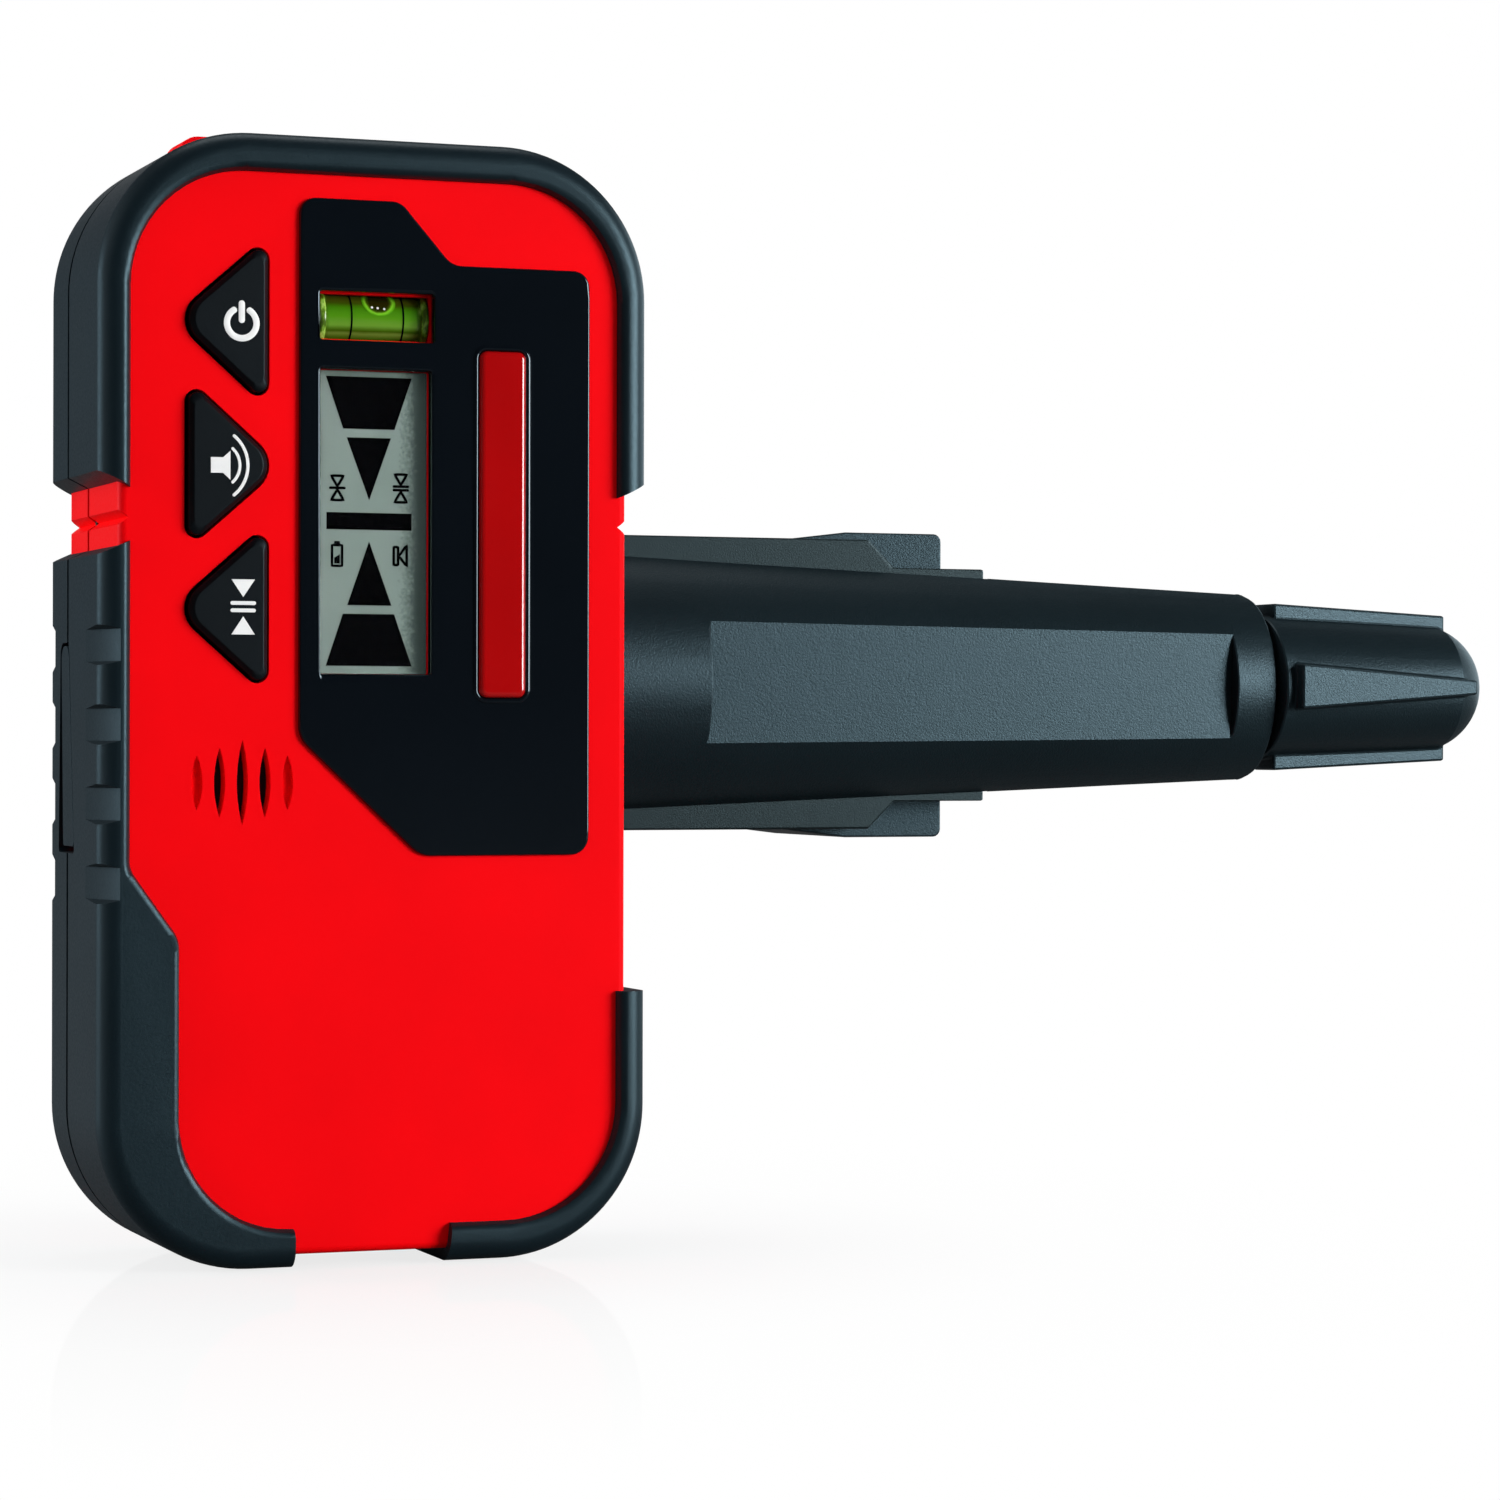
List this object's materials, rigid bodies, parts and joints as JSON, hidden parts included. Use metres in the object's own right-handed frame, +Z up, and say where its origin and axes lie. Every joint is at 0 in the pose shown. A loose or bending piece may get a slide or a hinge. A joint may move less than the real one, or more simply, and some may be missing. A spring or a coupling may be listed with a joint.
{
  "type": "laser receiver with rod clamp",
  "caption": "Hand-held laser level receiver: red housing with rubber bumpers, display, sensor window, vial and keys, on a screw clamp with a sliding V-jaw for a levelling rod.",
  "frame": {"origin": "midway between the receiver's four feet, on the plane they stand on and on the plane where the two housing halves part", "axes": "+X along the clamp's screw, from the receiver to the knob; +Y out of the receiver's back, so the display faces -Y; +Z up the receiver"},
  "size_m": [0.1948, 0.0725, 0.1267],
  "materials": {
    "red_shell": "satin",
    "black_rubber": "matte",
    "black_panel": "gloss",
    "clear_window": "gloss",
    "display_grey": "satin",
    "red_filter": "gloss",
    "vial_green": "gloss",
    "board_green": "satin",
    "sensor_black": "gloss",
    "buzzer_black": "matte",
    "steel": "satin",
    "cell_jacket": "gloss",
    "spring_contact": "gloss",
    "clamp_plastic": "fine texture",
    "nut_brass": "satin",
    "spindle_alloy": "satin"
  },
  "bodies": {
    "receiver": {"front_shell": "red_shell", "rear_shell": "red_shell", "shell_seal": "black_rubber", "front_bumper_top": "black_rubber", "front_bumper_left": "black_rubber", "front_bumper_right": "black_rubber", "rear_bumper_top_left": "black_rubber", "rear_bumper_top_right": "black_rubber", "rear_bumper_left": "black_rubber", "rear_bumper_right": "black_rubber", "lens_panel": "black_panel", "display_window": "clear_window", "lcd_module": "display_grey", "sensor_window": "red_filter", "level_vial": "vial_green", "main_board": "board_green", "diode_strip": "board_green", "photodiodes": "sensor_black", "key_switches": "sensor_black", "buzzer": "buzzer_black", "board_screws": "steel", "case_screws": "steel", "battery_cells": "cell_jacket", "battery_contacts": "spring_contact", "door_pin": "steel", "lever_pin": "steel"},
    "power_key": {"power_key": "black_rubber"},
    "sound_key": {"sound_key": "black_rubber"},
    "mode_key": {"mode_key": "black_rubber"},
    "battery_door": {"battery_door": "red_shell"},
    "release_lever": {"release_lever": "black_panel"},
    "clamp": {"clamp_frame": "clamp_plastic", "clamp_barrel": "clamp_plastic", "barrel_screws": "steel", "fixed_pad": "black_rubber"},
    "jaw": {"sliding_jaw": "clamp_plastic", "jaw_nut": "nut_brass", "jaw_pad": "black_rubber"},
    "knob": {"clamp_knob": "clamp_plastic", "spindle": "spindle_alloy", "thrust_collar": "spindle_alloy", "knob_pin": "steel"}
  },
  "joints": [
    {"name": "power_press", "type": "slide", "parent": "receiver", "child": "power_key", "axis": [0, 1, 0], "range_m": [0, 0.0008], "stiffness_N_per_m": 900},
    {"name": "sound_press", "type": "slide", "parent": "receiver", "child": "sound_key", "axis": [0, 1, 0], "range_m": [0, 0.0008], "stiffness_N_per_m": 900},
    {"name": "mode_press", "type": "slide", "parent": "receiver", "child": "mode_key", "axis": [0, 1, 0], "range_m": [0, 0.0008], "stiffness_N_per_m": 900},
    {"name": "door_swing", "type": "hinge", "parent": "receiver", "child": "battery_door", "pos_m": [0, 0.0088, 0.01685], "axis": [-1, 0, 0], "range_deg": [0, 90]},
    {"name": "lever_swing", "type": "hinge", "parent": "receiver", "child": "release_lever", "pos_m": [-0.0301, 0.0016, 0.0668], "axis": [1, 0, 0], "range_deg": [0, 5], "stiffness_Nm_per_rad": 0.3},
    {"name": "clamp_slide", "type": "slide", "parent": "receiver", "child": "clamp", "axis": [1, 0, 0], "range_m": [0, 0.05]},
    {"name": "knob_turn", "type": "hinge", "parent": "clamp", "child": "knob", "pos_m": [0.1306, 0.025, 0.0654], "axis": [1, 0, 0], "range_deg": [-2790, 180]},
    {"name": "jaw_slide", "type": "slide", "parent": "clamp", "child": "jaw", "axis": [1, 0, 0], "range_m": [-0.031, 0.002]}
  ],
  "couplings": [
    {"joint": "knob_turn", "follows": "jaw_slide", "rad_per_m": 1570.8}
  ]
}
